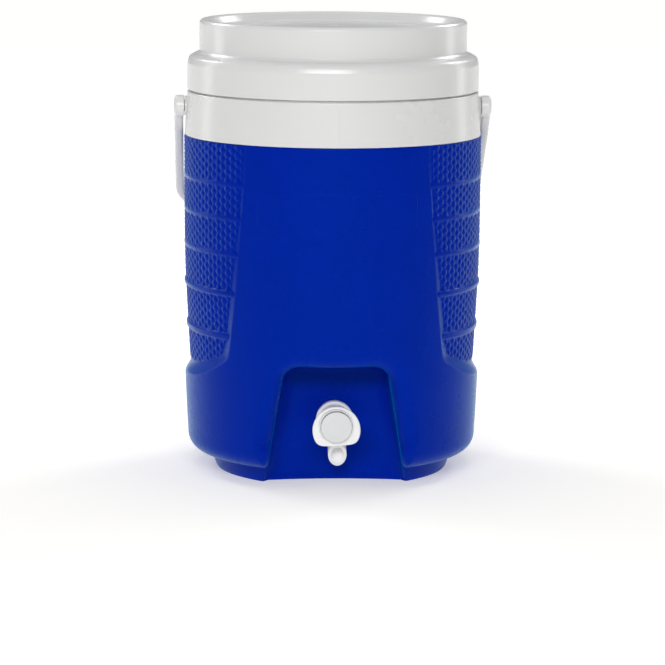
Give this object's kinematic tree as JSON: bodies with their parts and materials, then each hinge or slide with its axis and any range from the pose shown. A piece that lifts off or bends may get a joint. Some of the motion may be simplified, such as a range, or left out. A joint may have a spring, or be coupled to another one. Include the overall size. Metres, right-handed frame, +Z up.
{
  "type": "beverage dispenser",
  "caption": "Round insulated drinks cooler with a push-on foam-filled lid, a swing-over bail handle and a recessed push-button spigot.",
  "frame": {"origin": "centre of the base's support pad, on the standing plane and the cooler's vertical axis", "axes": "+Z up along the cooler's axis; the spigot faces -Y; the handle's pivots lie along X and the handle is stowed towards +Y"},
  "size_m": [0.26, 0.2596, 0.3683],
  "materials": {
    "shell_blue": "satin moulded polyethylene with a fine grain",
    "liner_white": "semi-gloss white polyethylene",
    "lid_white": "semi-gloss white polypropylene",
    "lid_inner_white": "semi-gloss white polypropylene",
    "handle_white": "semi-gloss white polypropylene",
    "spigot_white": "gloss white acetal",
    "button_grey": "satin light grey acetal",
    "foam": "rigid polyurethane foam",
    "seal_rubber": "matt food-grade silicone",
    "plug_blue": "satin moulded plastic",
    "spring_steel": "drawn stainless wire"
  },
  "bodies": {
    "cooler": {"outer_shell": "shell_blue", "inner_liner": "liner_white", "body_foam": "foam", "foam_fill_plug": "plug_blue", "spigot_body": "spigot_white", "button_bezel": "spigot_white", "stem_o_ring": "seal_rubber", "return_spring": "spring_steel", "outer_gasket": "seal_rubber", "inner_gasket": "seal_rubber", "slip_washer": "spigot_white", "lock_nut": "spigot_white"},
    "lid": {"lid_shell": "lid_white", "lid_liner": "lid_inner_white", "lid_foam": "foam", "lid_seal": "seal_rubber"},
    "handle": {"bail_handle": "handle_white"},
    "button": {"push_button": "button_grey", "valve_stem": "spigot_white", "valve_seal": "seal_rubber"}
  },
  "joints": [
    {"name": "handle_swing", "type": "hinge", "parent": "cooler", "child": "handle", "pos_m": [0, 0, 0.2977], "axis": [1, 0, 0], "range_deg": [0, 252]},
    {"name": "lid_lift", "type": "slide", "parent": "cooler", "child": "lid", "axis": [0, 0, 1], "range_m": [0, 0.06]},
    {"name": "button_press", "type": "slide", "parent": "cooler", "child": "button", "axis": [0, 1, 0], "range_m": [0, 0.004], "stiffness_N_per_m": 600, "springref_m": -0.004, "deforming": ["return_spring"]}
  ]
}
